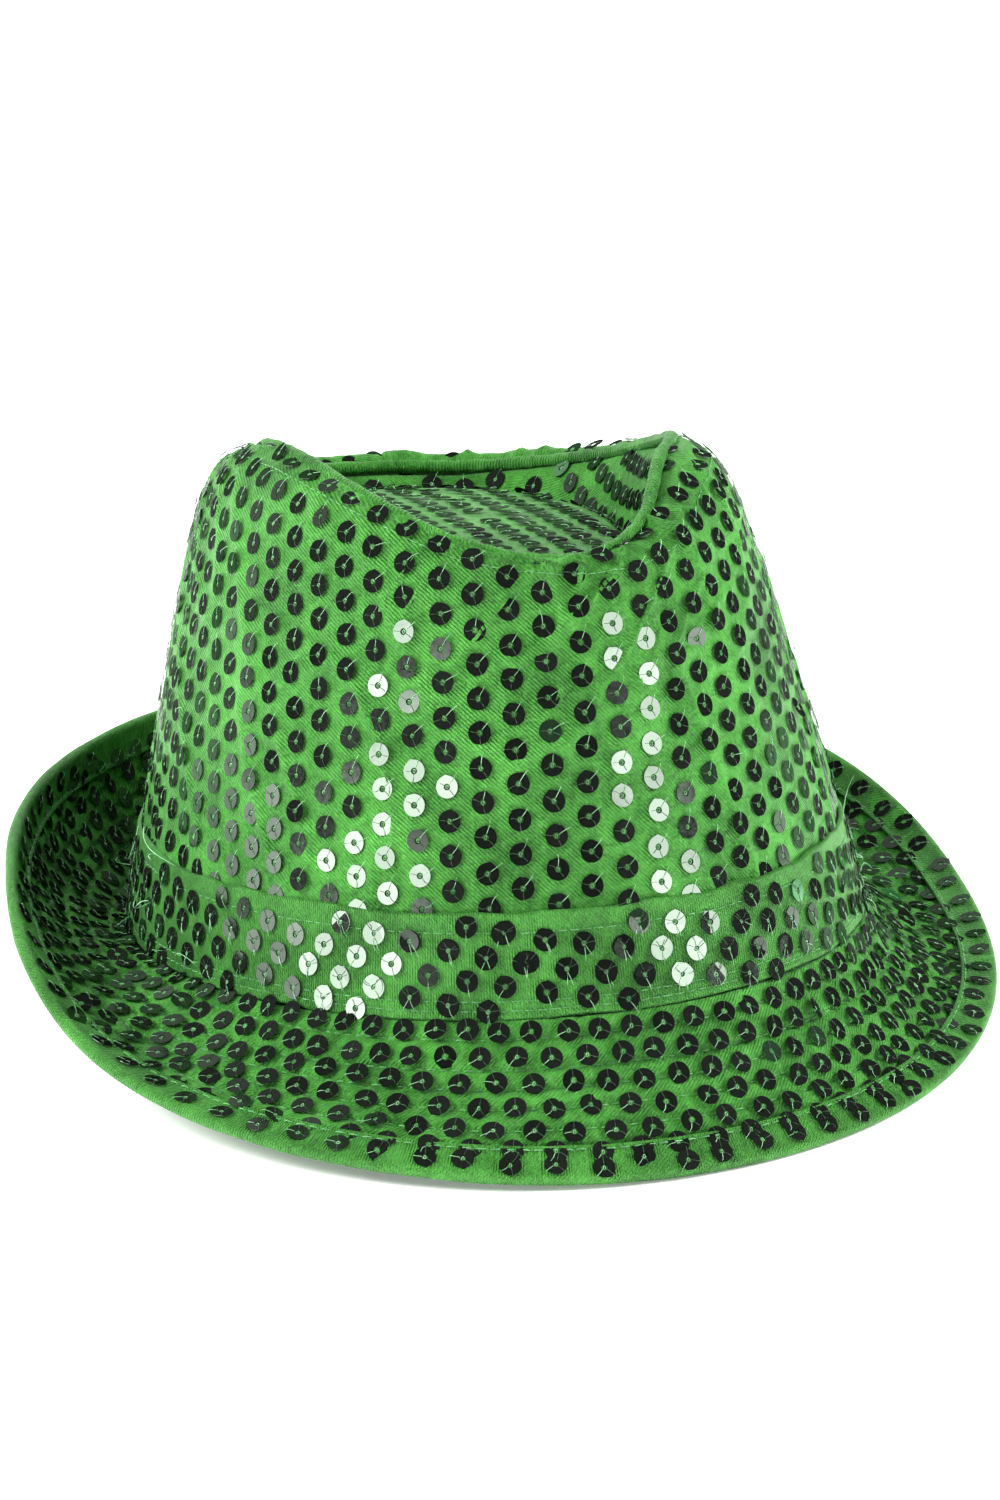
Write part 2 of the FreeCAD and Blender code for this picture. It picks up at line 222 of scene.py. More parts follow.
def stand(points):
    """From the hat's frame in millimetres to the row's frame in metres."""
    c, s = math.cos(REST_TILT), math.sin(REST_TILT)
    turn = np.array([[1, 0, 0], [0, c, -s], [0, s, c]])
    return (np.asarray(points) @ turn.T + np.array(REST_SHIFT)) * 0.001


# ---------------------------------------------------------------- relief of the cloth

def noise(x, y, seed):
    """Smooth noise from -1 to 1, one wave per unit."""
    table = np.random.default_rng(seed).uniform(-1, 1, (64, 64))
    i, j = np.floor(x).astype(int), np.floor(y).astype(int)
    u, v = x - i, y - j
    u, v = u * u * (3 - 2 * u), v * v * (3 - 2 * v)
    low = table[i % 64, j % 64] * (1 - u) + table[(i + 1) % 64, j % 64] * u
    high = table[i % 64, (j + 1) % 64] * (1 - u) + table[(i + 1) % 64, (j + 1) % 64] * u
    return low * (1 - v) + high * v


def groove(distance, width):
    return np.exp(-(distance / width) ** 2)


def arc_table(surface, place, steps=2880):
    """Angles, and the distance round the hat from the front to each of them."""
    angles = np.linspace(-np.pi, np.pi, steps + 1)
    points = surface(angles, np.full(angles.shape, place))
    lengths = np.concatenate([[0], np.cumsum(np.linalg.norm(np.diff(points, axis=0), axis=1))])
    return angles, lengths - np.interp(0, angles, lengths)


HEADLINE = arc_table(side, 0.0)
BRIM_LINE = arc_table(brim, BRIM_WIDTH / 2)


def climb_lengths(surface, angles, places):
    """Distances up a surface, one row for each angle."""
    points = surface(angles[:, None], places[None, :])
    steps = np.linalg.norm(np.diff(points, axis=1), axis=2)
    return np.concatenate([np.zeros((len(angles), 1)), np.cumsum(steps, axis=1)], axis=1)


def side_cloth(angle, climbed):
    """The flat side panel's coordinates, turned so that the sequins' columns run along its second."""
    turn = np.interp(angle, *HEADLINE) / FAN_RADIUS
    reach = FAN_RADIUS - climbed
    x = reach * np.sin(turn)
    y = FAN_RADIUS - reach * np.cos(turn)
    c, s = math.cos(GRID_TURN), math.sin(GRID_TURN)
    return c * x + s * y, c * y - s * x


def dimples(x, y, depth=0.22, width=1.9):
    """The pull of each sequin's thread on the cloth."""
    column = np.round((x - GRID_X) / COLUMN_GAP)
    row_shift = 0.5 * (column % 2)
    row = np.round((y - GRID_Y) / ROW_GAP - row_shift)
    dx = x - GRID_X - column * COLUMN_GAP
    dy = y - GRID_Y - (row + row_shift) * ROW_GAP
    return -depth * np.exp(-(dx * dx + dy * dy) / width ** 2)


def side_relief(angle, climbed):
    """How far the side panel's satin stands off its smooth shape."""
    x, y = side_cloth(angle, climbed)
    folds = noise((x + 0.35 * y) / 13, (y - 0.5 * x) / 44, 3)
    folds = 1.15 * (1 - np.abs(folds)) ** 4 - 0.25
    front_folds = noise((x - 0.8 * y) / 7, (y + 0.6 * x) / 26, 4)
    high = np.clip((climbed - 55) / 30, 0, 1) * np.exp(-(angle / 0.75) ** 2)
    front_folds = 1.7 * (1 - np.abs(front_folds)) ** 5 * high
    small = 0.17 * noise(x / 2.3, y / 4.1, 5)
    back_seam = -0.6 * groove((np.pi - np.abs(angle)) * 80, 0.9)
    return np.maximum(folds + front_folds + small + dimples(x, y) + back_seam, -0.45)


def tip_relief(x, y):
    wide = 0.35 * noise(x / 15, y / 21, 8)
    return wide + 0.07 * noise(x / 2.4, y / 3.3, 9) + dimples(x, y)


def brim_relief(angle, across):
    """Stitched channels with gathers between them."""
    arc = np.interp(angle, *BRIM_LINE)
    wobble = 0.35 * noise(arc / 17, across * 0, 11)
    depth = sum(groove(across - row - wobble, 0.65) for row in BRIM_STITCHES)
    gathers = noise(arc / 2.1 + 0.5 * noise(arc / 9, across / 6, 12), across / 7, 13)
    gathers = gathers * (0.26 + 0.44 * np.abs(np.sin(angle)))
    pulls = -0.10 * groove((arc / 2.9) % 1 - 0.5, 0.2) * depth
    return 0.15 - 0.85 * depth + gathers * (1 - 0.7 * np.clip(depth, 0, 1)) + pulls


def band_relief(angle, height):
    arc = np.interp(angle, *HEADLINE)
    stitch = sum(groove(height - row, 0.5) for row in BAND_STITCHES)
    hems = 0.22 * (1 / (1 + np.exp((height - 4.6) * 4)) + 1 / (1 + np.exp((18.2 - height) * 4)))
    slack = 0.22 * noise(arc / 11 + height / 30, height / 17, 21) + 0.08 * noise(arc / 2.6, height / 5, 22)
    return hems - 0.3 * stitch + slack


# ---------------------------------------------------------------- materials

def new_material(name):
    material = bpy.data.materials.new(name)
    material.use_nodes = True
    nodes = material.node_tree.nodes
    return material, nodes, material.node_tree.links, nodes["Principled BSDF"]


def node(nodes, kind, inputs=(), **settings):
    made = nodes.new(kind)
    for key, value in settings.items():
        setattr(made, key, value)
    for key, value in dict(inputs).items():
        made.inputs[key].default_value = value
    return made


def ramp(nodes, stops):
    made = nodes.new("ShaderNodeValToRGB")
    made.color_ramp.elements[0].position, made.color_ramp.elements[0].color = stops[0]
    made.color_ramp.elements[1].position, made.color_ramp.elements[1].color = stops[-1]
    for place, color in stops[1:-1]:
        made.color_ramp.elements.new(place).color = color
    return made


def add_scaled(nodes, links, source, factor, added):
    """source times factor, plus another output."""
    made = node(nodes, "ShaderNodeMath", operation="MULTIPLY_ADD")
    made.inputs[1].default_value = factor
    links.new(source, made.inputs[0])
    links.new(added, made.inputs[2])
    return made.outputs[0]


def color_by(nodes, links, shader, value, stops):
    colors = ramp(nodes, stops)
    links.new(value, colors.inputs["Fac"])
    links.new(colors.outputs["Color"], shader.inputs["Base Color"])


def bump_by(nodes, links, shader, value, strength, distance):
    bump = node(nodes, "ShaderNodeBump", {"Strength": strength, "Distance": distance})
    links.new(value, bump.inputs["Height"])
    links.new(bump.outputs["Normal"], shader.inputs["Normal"])


def satin(name, light, dark, rib=0.0, metallic=0.45, rough=0.44):
    """Green satin: a fine slanting weave, soft crumples, uneven dye, and ribs where it is folded. The
    crumples also set the colour, with painted shade in their hollows and painted highlight on their crests.
    """
    material, nodes, links, shader = new_material(name)
    cloth = node(nodes, "ShaderNodeUVMap", uv_map="cloth")
    weave = node(nodes, "ShaderNodeTexWave", {"Scale": 0.62, "Distortion": 1.6, "Detail": 1.0,
                                              "Detail Scale": 3.0}, bands_direction="DIAGONAL")
    crumple_and_shade = node(nodes, "ShaderNodeTexNoise", {"Scale": 0.35, "Detail": 5.0, "Roughness": 0.62,
                                                 "Distortion": 0.6})
    dye = node(nodes, "ShaderNodeTexNoise", {"Scale": 0.045, "Detail": 2.0})
    grain = node(nodes, "ShaderNodeTexNoise", {"Scale": 1.4, "Detail": 3.0, "Roughness": 0.7})
    for texture in (weave, crumple_and_shade, dye, grain):
        links.new(cloth.outputs["UV"], texture.inputs["Vector"])
    speckle = add_scaled(nodes, links, grain.outputs["Fac"], 0.9, dye.outputs["Fac"])
    # the crumple noise also goes into the colour: painted shade where the crumples sink, painted highlight
    # where they rise
    crease_shade_and_speckle = add_scaled(nodes, links, crumple_and_shade.outputs["Fac"], 0.75, speckle)
    shift = node(nodes, "ShaderNodeMath", operation="SUBTRACT")
    shift.inputs[1].default_value = 0.92
    links.new(crease_shade_and_speckle, shift.inputs[0])
    tone = add_scaled(nodes, links, weave.outputs["Fac"], 0.11, shift.outputs[0])
    color_by(nodes, links, shader, tone, [(0.1, dark), (0.9, light)])
    height = add_scaled(nodes, links, crumple_and_shade.outputs["Fac"], 5.5, weave.outputs["Fac"])
    if rib:
        ribs = node(nodes, "ShaderNodeTexWave", {"Scale": 0.314 / rib, "Distortion": 2.2,
                                                 "Detail": 2.0, "Detail Scale": 0.6})
        links.new(cloth.outputs["UV"], ribs.inputs["Vector"])
        height = add_scaled(nodes, links, ribs.outputs["Fac"], 2.2, height)
    bump_by(nodes, links, shader, height, 0.9, 0.00022)
    gloss = node(nodes, "ShaderNodeMapRange", {"To Min": rough - 0.07, "To Max": rough + 0.1})
    links.new(grain.outputs["Fac"], gloss.inputs["Value"])
    links.new(gloss.outputs["Result"], shader.inputs["Roughness"])
    shader.inputs["Metallic"].default_value = metallic
    shader.inputs["Anisotropic"].default_value = 0.3
    shader.inputs["Sheen Weight"].default_value = 0.12
    shader.inputs["Sheen Roughness"].default_value = 0.45
    shader.inputs["Sheen Tint"].default_value = (0.6, 1.0, 0.6, 1)
    return material


def sequin_film():
    """Dark green glossy film, a little different from disc to disc."""
    material, nodes, links, shader = new_material("sequin_film")
    tone = node(nodes, "ShaderNodeAttribute", attribute_name="tone")
    color_by(nodes, links, shader, tone.outputs["Fac"],
             [(0.0, (0.075, 0.095, 0.075, 1)), (0.8, (0.115, 0.14, 0.115, 1)), (1.0, (0.16, 0.34, 0.18, 1))])
    place = node(nodes, "ShaderNodeTexCoord")
    scuff = node(nodes, "ShaderNodeTexNoise", {"Scale": 900.0, "Detail": 3.0})
    links.new(place.outputs["Object"], scuff.inputs["Vector"])
    gloss = node(nodes, "ShaderNodeMapRange", {"To Min": 0.04, "To Max": 0.14})
    links.new(scuff.outputs["Fac"], gloss.inputs["Value"])
    links.new(gloss.outputs["Result"], shader.inputs["Roughness"])
    shader.inputs["Metallic"].default_value = 0.93
    shader.inputs["Specular Tint"].default_value = (0.10, 0.2, 0.10, 1)
    return material


def twisted(name, color, pale):
    """Shiny sewing thread with its twist."""
    material, nodes, links, shader = new_material(name)
    place = node(nodes, "ShaderNodeTexCoord")
    uneven = node(nodes, "ShaderNodeTexNoise", {"Scale": 260.0, "Detail": 3.0})
    twist = node(nodes, "ShaderNodeTexWave", {"Scale": 520.0, "Distortion": 2.0}, bands_direction="DIAGONAL")
    for texture in (uneven, twist):
        links.new(place.outputs["Object"], texture.inputs["Vector"])
    color_by(nodes, links, shader, uneven.outputs["Fac"], [(0.3, color), (0.72, pale)])
    bump_by(nodes, links, shader, twist.outputs["Fac"], 0.5, 0.00005)
    shader.inputs["Roughness"].default_value = 0.32
    shader.inputs["Specular IOR Level"].default_value = 0.9
    shader.inputs["Sheen Weight"].default_value = 0.3
    return material


def plain_weave(name, light, dark, scale, depth, rough=0.8):
    """Plain woven cloth: warp and weft crossing, with slubs."""
    material, nodes, links, shader = new_material(name)
    cloth = node(nodes, "ShaderNodeUVMap", uv_map="cloth")
    warp = node(nodes, "ShaderNodeTexWave", {"Scale": scale, "Distortion": 0.6}, bands_direction="X")
    weft = node(nodes, "ShaderNodeTexWave", {"Scale": scale, "Distortion": 0.6}, bands_direction="Y")
    slubs = node(nodes, "ShaderNodeTexNoise", {"Scale": 0.3, "Detail": 4.0})
    for texture in (warp, weft, slubs):
        links.new(cloth.outputs["UV"], texture.inputs["Vector"])
    cross = node(nodes, "ShaderNodeMath", operation="MAXIMUM")
    links.new(warp.outputs["Fac"], cross.inputs[0])
    links.new(weft.outputs["Fac"], cross.inputs[1])
    mixed = node(nodes, "ShaderNodeMath", operation="MULTIPLY")
    links.new(cross.outputs[0], mixed.inputs[0])
    links.new(slubs.outputs["Fac"], mixed.inputs[1])
    color_by(nodes, links, shader, mixed.outputs[0], [(0.2, dark), (0.65, light)])
    bump_by(nodes, links, shader, mixed.outputs[0], 0.7, depth)
    shader.inputs["Roughness"].default_value = rough
    shader.inputs["Sheen Weight"].default_value = 0.2
    return material


SATIN_LIGHT = (0.125, 0.53, 0.075, 1)
SATIN_DARK = (0.014, 0.10, 0.008, 1)
MATERIALS = {
    "panel": satin("green_satin", SATIN_LIGHT, SATIN_DARK),
    "ribbed": satin("ribbed_green_satin", SATIN_LIGHT, SATIN_DARK, rib=0.6),
    "welt": satin("rolled_green_satin", SATIN_LIGHT, (0.010, 0.08, 0.008, 1), rib=1.6, rough=0.38),
    "under": satin("plain_green_satin", (0.04, 0.30, 0.055, 1), (0.014, 0.12, 0.018, 1), metallic=0.3),
    "sequin": sequin_film(),
    "thread": twisted("green_thread", (0.09, 0.42, 0.12, 1), (0.45, 0.85, 0.48, 1)),
    "dull_thread": twisted("dull_thread", (0.005, 0.035, 0.007, 1), (0.02, 0.12, 0.025, 1)),
    "stitch": twisted("stitch_thread", (0.03, 0.20, 0.035, 1), (0.13, 0.46, 0.14, 1)),
    "buckram": plain_weave("buckram_weave", (0.72, 0.71, 0.66, 1), (0.40, 0.39, 0.36, 1), 0.35, 0.0003),
    "lining": plain_weave("lining_weave", (0.012, 0.075, 0.018, 1), (0.005, 0.03, 0.007, 1), 1.0, 0.0001),
    "tape": plain_weave("tape_weave", (0.02, 0.11, 0.025, 1), (0.008, 0.05, 0.01, 1), 0.6, 0.0002),
    "sweatband": plain_weave("sweatband_rib", (0.03, 0.035, 0.03, 1), (0.008, 0.009, 0.008, 1), 0.5, 0.0003),
}


# ---------------------------------------------------------------- meshes

def finish_piece(obj, material, cad_nodes=()):
    obj.data.materials.append(material)
    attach(obj, "root")
    if cad_nodes:
        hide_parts(*cad_nodes)
    return obj


def mesh_piece(name, points, faces, cloth=None, smooth=True):
    """One object from points in the hat's frame and quads, with the flat cloth as its texture map."""
    mesh = bpy.data.meshes.new(name)
    points = stand(points)
    mesh.vertices.add(len(points))
    mesh.vertices.foreach_set("co", points.ravel())
    mesh.loops.add(faces.size)
    mesh.loops.foreach_set("vertex_index", faces.ravel())
    mesh.polygons.add(len(faces))
    mesh.polygons.foreach_set("loop_start", np.arange(len(faces)) * faces.shape[1])
    mesh.update(calc_edges=True)
    mesh.polygons.foreach_set("use_smooth", np.full(len(faces), smooth))
    if cloth is not None:
        layer = mesh.uv_layers.new(name="cloth")
        layer.data.foreach_set("uv", cloth.ravel())
    mesh.validate()
    obj = bpy.data.objects.new(name, mesh)
    bpy.context.scene.collection.objects.link(obj)
    return obj


def grid_quads(rows, columns):
    """Quads of a grid that closes both ways, and the grid places of their corners."""
    r, c = np.meshgrid(np.arange(rows), np.arange(columns), indexing="ij")
    r, c = r.ravel(), c.ravel()
    corner_rows = np.stack([r, r, r + 1, r + 1], 1) % rows
    corner_columns = np.stack([c, c + 1, c + 1, c], 1)
    return corner_rows, corner_columns


def shell(name, outer, inner, outer_cloth, inner_cloth):
    """A closed ring of cloth: rows of its outside, then rows of its inside, back to the first."""
    points = np.concatenate([outer, inner[::-1]])
    cloth = np.concatenate([outer_cloth, inner_cloth[::-1]])
    rows, columns = points.shape[:2]
    corner_rows, corner_columns = grid_quads(rows, columns)
    faces = corner_rows * columns + corner_columns % columns
    corners = cloth[corner_rows, corner_columns]
    a, b, c = (points.reshape(-1, 3)[faces[:, k]] for k in (0, 1, 2))
    if np.einsum("ij,ij->", a, np.cross(b, c)) < 0:
        faces = faces[:, ::-1]
        corners = corners[:, ::-1]
    return mesh_piece(name, points.reshape(-1, 3), np.ascontiguousarray(faces), np.ascontiguousarray(corners))


def ring_angles(columns):
    return np.linspace(-np.pi, np.pi, columns + 1)


def ring_shell(name, columns, outer_rows, inner_rows, outer_at, inner_at, cloth_at):
    """A shell whose rows are places across the cloth, from three functions of angle and place."""
    angles = ring_angles(columns)
    a = angles[None, :-1]
    outer = outer_at(a, outer_rows[:, None])
    inner = inner_at(a, inner_rows[:, None])
    clothes = [np.stack(np.broadcast_arrays(*cloth_at(angles[None, :], rows[:, None])), -1)
               for rows in (outer_rows, inner_rows)]
    return shell(name, outer, inner, *clothes)


# ---------------------------------------------------------------- the fabric pieces

SIDE_PLACES = np.concatenate([np.linspace(0, 1, 101), np.linspace(1.08, 1.94, 11)])
HIDDEN_SIDE = np.concatenate([np.linspace(0, 0.84, 9), np.linspace(0.86, 1, 15),
                              np.linspace(1.05, 1.3, 6), [1.6, 1.94]])
SIDE_EDGE = 1.94  # the satin is turned in just before the top seam
SIDE_LAYER_EDGE = 0.86  # the hidden side layers stop below the crest
TIP_EDGE = 0.985
TIP_STIFF_EDGE = 0.86
TIP_LINING_EDGE = 0.82
TIP_PLACES = np.linspace(0, 1, 101)


def climb(surface, full, angle, place):
    """Distance climbed up a surface at an angle and place, read between the places in full."""
    angle, place = np.broadcast_arrays(angle, place)
    flat_angles, back = np.unique(angle.ravel(), return_inverse=True)
    lengths = climb_lengths(surface, flat_angles, full)
    spot = np.interp(place.ravel(), full, np.arange(len(full)))
    k = np.minimum(spot.astype(int), len(full) - 2)
    f = spot - k
    return (lengths[back, k] * (1 - f) + lengths[back, k + 1] * f).reshape(angle.shape)


def side_climb(angle, along):
    return climb(side, SIDE_PLACES, angle, along)


def side_off(angle, along, depth, relief=False):
    """A point of the side moved square to it: depth is inward."""
    point = side(angle, along)
    n = side_facing(*np.broadcast_arrays(angle, along))
    off = np.full(point.shape[:-1], -float(depth))
    if relief:
        off = off + side_relief(np.broadcast_to(angle, off.shape), side_climb(angle, along))
    return point + n * off[..., None]


def side_layer(name, top, depth, thick, columns, fine):
    places = SIDE_PLACES if fine else HIDDEN_SIDE
    return ring_shell(
        name, columns, places[places <= top], HIDDEN_SIDE[HIDDEN_SIDE <= top],
        lambda a, s: side_off(a, s, depth, fine),
        lambda a, s: side_off(a, s, depth + thick),
        lambda a, s: side_cloth(a, side_climb(a, s)))


def tip_cloth(angle, share):
    edge = seam(angle)
    heading = np.arctan2(edge[..., 0], -edge[..., 1])
    reach = climb(tip, TIP_PLACES, angle, share)
    return reach * np.sin(heading), reach * -np.cos(heading)


def tip_off(angle, share, depth, relief=False):
    point = tip(angle, share)
    n = tip_facing(*np.broadcast_arrays(angle, share))
    n = np.where(n[..., 2:] < 0, -n, n)
    off = np.full(point.shape[:-1], -float(depth))
    if relief:
        off = off + tip_relief(*tip_cloth(angle, share))
    return point + n * off[..., None]


def tip_layer(name, edge, depth, thick, columns, fine):
    rows = np.linspace(0.006, edge, 100 if fine else 60)
    coarse = np.linspace(0.006, edge, 60)
    return ring_shell(
        name, columns, rows, coarse,
        lambda a, s: tip_off(a, s, depth, fine),
        lambda a, s: tip_off(a, s, depth + thick),
        tip_cloth)


def brim_off(angle, across, depth, relief=False):
    point = brim(angle, across)
    n = brim_facing(*np.broadcast_arrays(angle, across))
    off = np.full(point.shape[:-1], -float(depth))
    if relief:
        off = off + brim_relief(*np.broadcast_arrays(angle, across))
    return point + n * off[..., None]


def brim_cloth(angle, across):
    return np.interp(angle, *BRIM_LINE), across


def brim_layer(name, depth, thick, columns, rows, fine):
    edge = BRIM_WIDTH - BINDING_NOSE
    return ring_shell(
        name, columns, np.linspace(0, edge, rows), np.linspace(0, edge, 8),
        lambda a, s: brim_off(a, s, depth, fine),
        lambda a, s: brim_off(a, s, depth + thick),
        brim_cloth)


def profile_ring(name, columns, profile, place, cloth_scale=1.0):
    """A closed ring with one outline all round: profile is a list of (across, up), and
    place(angle, across, up) puts it on the hat."""
    profile = np.asarray(profile, float)
    run = np.concatenate([[0], np.cumsum(np.linalg.norm(np.diff(profile, axis=0), axis=1))])
    angles = ring_angles(columns)
    points = place(angles[None, :-1], profile[:, :1], profile[:, 1:])
    arc = np.interp(angles, *BRIM_LINE)[None, :] * cloth_scale
    cloth = np.stack(np.broadcast_arrays(arc, run[:, None]), -1)
    half = len(profile) // 2
    return shell(name, points[:half], points[half:][::-1], cloth[:half], cloth[half:][::-1])


def binding_place(angle, across, up):
    arc = np.interp(angle, *BRIM_LINE)
    n = brim_facing(*np.broadcast_arrays(angle, across))
    ribs = 0.07 * np.sin(arc * 2 * np.pi / 1.0 + 2 * noise(arc / 5, across * 0, 31))
    wave = 0.16 * noise(arc / 9, across / 6, 32)
    outer = np.where((up > -0.9) & (up < 0.3), 0.0, 1.0)
    return brim(angle, across) + n * (up + (ribs + wave) * np.sign(up + 1.2) * outer)[..., None]


def binding_profile():
    """The binding's U, from its inner edge over the rim and back underneath, then its inside."""
    inner, outer = BRIM_WIDTH - BINDING_WIDTH, BRIM_WIDTH
    low = -(SATIN + BUCKRAM + LINING + 2 * GAP) - GAP
    spots = np.concatenate([np.linspace(inner, inner + 1.2, 6), np.linspace(inner + 2, outer - 1.4, 7)])
    over = [(s, GAP + BINDING_THICK + 0.5 * math.exp(-((s - inner - 0.35) / 0.5) ** 2)) for s in spots]
    middle, radius = (GAP + low) / 2, (GAP - low) / 2 + BINDING_THICK
    nose = [(outer - 1.4 + 1.4 * math.cos(t), middle + radius * math.sin(t))
            for t in np.linspace(math.pi / 2, -math.pi / 2, 11)[1:-1]]
    below = [(s, low - BINDING_THICK) for s in np.linspace(outer - 1.4, inner, 13)]
    edge = BRIM_WIDTH - BINDING_NOSE + GAP
    inside = [(s, low) for s in np.linspace(inner, edge, 4)] + [(s, GAP) for s in np.linspace(edge, inner, 4)]
    return over + nose + below + inside


def band_profile():
    """The hat band: up its outside, over its folded top and down its inside."""
    round_edge = 0.5
    outside = [(h, 0.0) for h in np.linspace(0.3 + round_edge, BAND_HEIGHT - round_edge, 44)]
    over = [(BAND_HEIGHT - round_edge + round_edge * math.sin(t), -round_edge * (1 - math.cos(t)))
            for t in (0.5, 1.0, 1.57, 2.1, 2.6)]
    inside = [(h, -BAND_THICK + 0.05) for h in np.linspace(BAND_HEIGHT - round_edge, 0.3 + round_edge, 8)]
    under = [(0.3 + round_edge - round_edge * math.sin(t), -round_edge * (1 - math.cos(t)))
             for t in (2.6, 2.1, 1.57, 1.0, 0.5)]
    return outside + over + inside + under


def band_place(angle, height, out):
    arc = np.interp(angle, *HEADLINE)
    edge = np.clip((height - 16) / 7, 0, 1) * 0.55 * noise(arc / 8, height * 0, 24)
    edge = edge + np.clip((6 - height) / 6, 0, 1) * 0.45 * noise(arc / 10, height * 0, 25)
    shown = np.clip(1 + out / 0.5, 0, 1)
    off = out + band_relief(*np.broadcast_arrays(angle, height)) * shown
    return band(angle, height + edge) + outward(angle, height) * off[..., None]


def welt_place(angle, turn_x, turn_z):
    """The rolled seam allowances along the top seam, a little uneven."""
    arc = np.interp(angle, *HEADLINE)
    twist = 1.22 + 0.14 * noise(arc / 3.2, turn_x * 0.6, 41) + 0.10 * noise(arc / 11, turn_z * 0.5, 42)
    edge = seam(angle)
    n = outward(angle)
    point = edge + n * (turn_x * twist)[..., None]
    point[..., 2] += 1.2 + (turn_z * twist)
    return point


def circle_profile(radius, sides):
    return [(radius * math.cos(t), radius * math.sin(t)) for t in np.linspace(0, 2 * math.pi, sides + 1)[:-1]]


def tape_place(angle, out, height):
    shape = np.broadcast(angle, out).shape
    point = wall(angle, np.zeros(shape), np.broadcast_to(out, shape))
    point[..., 2] += height + 0.06 * noise(np.interp(angle, *HEADLINE) / 4, out, 51)
    return point


def sweatband_place(angle, height, out):
    """Follows the crown's wall inside its layers, with fine upright ribs."""
    level = np.maximum(height, 0)
    depth = SATIN + BUCKRAM + LINING + 3 * GAP
    arc = np.interp(angle, *HEADLINE)
    ribs = 0.10 * np.sin(arc * 2 * np.pi / 2.0) * (out < -0.9)
    point = wall(angle, level, -depth + out + ribs)
    point[..., 2] += height - level
    return point


def build_fabric():
    """Every layer of cloth; each takes the place of the solid of the same name."""

    def add(cad_node, obj, material):
        finish_piece(obj, MATERIALS[material], [cad_node])

    stiff, inner = SATIN + GAP, SATIN + BUCKRAM + 2 * GAP
    add("crown_side_panel", side_layer("side_panel_satin", SIDE_EDGE, 0, SATIN, 720, True),
        "panel")
    add("crown_side_buckram", side_layer("side_buckram", SIDE_LAYER_EDGE, stiff, BUCKRAM, 540, False),
        "buckram")
    add("crown_side_lining", side_layer("side_lining", SIDE_LAYER_EDGE, inner, LINING, 540, False),
        "lining")
    add("crown_tip_panel", tip_layer("tip_panel_satin", TIP_EDGE, 0, SATIN, 480, True),
        "panel")
    add("crown_tip_buckram", tip_layer("tip_buckram", TIP_STIFF_EDGE, stiff, BUCKRAM, 360, False),
        "buckram")
    add("crown_tip_lining", tip_layer("tip_lining", TIP_LINING_EDGE, inner, LINING, 360, False),
        "lining")
    add("crown_seam_welt", profile_ring("seam_welt", 480, circle_profile(1.3, 12), welt_place),
        "welt")
    add("brim_top_fabric", brim_layer("brim_top_satin", 0, SATIN, 840, 64, True),
        "panel")
    add("brim_buckram", brim_layer("brim_stiffener", stiff, BUCKRAM, 180, 8, False),
        "buckram")
    add("brim_under_fabric", brim_layer("brim_under_satin", inner, LINING, 360, 24, False),
        "under")
    add("brim_edge_binding", profile_ring("edge_binding", 1440, binding_profile(), binding_place, 1.13),
        "ribbed")
    add("hat_band", profile_ring("hat_band_strip", 720, band_profile(), band_place, 0.85),
        "ribbed")
    depth = SATIN + BUCKRAM + LINING + 2 * GAP
    tape = [(BAND_THICK - 0.2, -GAP), (BAND_THICK - 0.2, -GAP - 1.7), (-depth, -GAP - 1.7), (-depth, -GAP)]
    add("headline_seam_tape", profile_ring("seam_tape", 360, tape, tape_place),
        "tape")
    low, high = -SWEATBAND_DROP, SWEATBAND_HEIGHT - SWEATBAND_DROP
    strip = [(h, -SWEATBAND_THICK) for h in np.linspace(low, high, 20)]
    strip += [(h, 0.0) for h in np.linspace(high, low, 20)]
    add("sweatband", profile_ring("sweatband_strip", 900, strip, sweatband_place, 0.85),
        "sweatband")


# ---------------------------------------------------------------- sequins and threads

def disc_ring(sides):
    """One sequin's closed outline, four rings of points, with the little nub of its rim."""
    turn = np.linspace(0, 2 * math.pi, sides + 1)[:-1]
    rim = np.full(sides, SEQUIN_RADIUS)
    rim[0] += 0.22
    rings = []
    for radius, height in ((SEQUIN_HOLE, 0.0), (SEQUIN_HOLE, SEQUIN_THICK), (rim, SEQUIN_THICK), (rim, 0.0)):
        rings.append(vectors(radius * np.cos(turn), radius * np.sin(turn), height))
    return np.array(rings)


def tilted_frames(normals, ups, tilt, rng):
    """Three directions for each disc: across, along and out of it, tilted a little at random."""
    out = unit(normals + rng.normal(0, 1, normals.shape) * tilt[:, None])
    along = unit(ups - out * np.sum(ups * out, axis=1, keepdims=True))
    return np.cross(along, out), along, out


def in_frames(local, centres, frames):
    """Local points (K, 3) at every centre: an array (N, K, 3)."""
    across, along, out = frames
    return (centres[:, None, :] + local[None, :, :1] * across[:, None, :]
            + local[None, :, 1:2] * along[:, None, :] + local[None, :, 2:] * out[:, None, :])


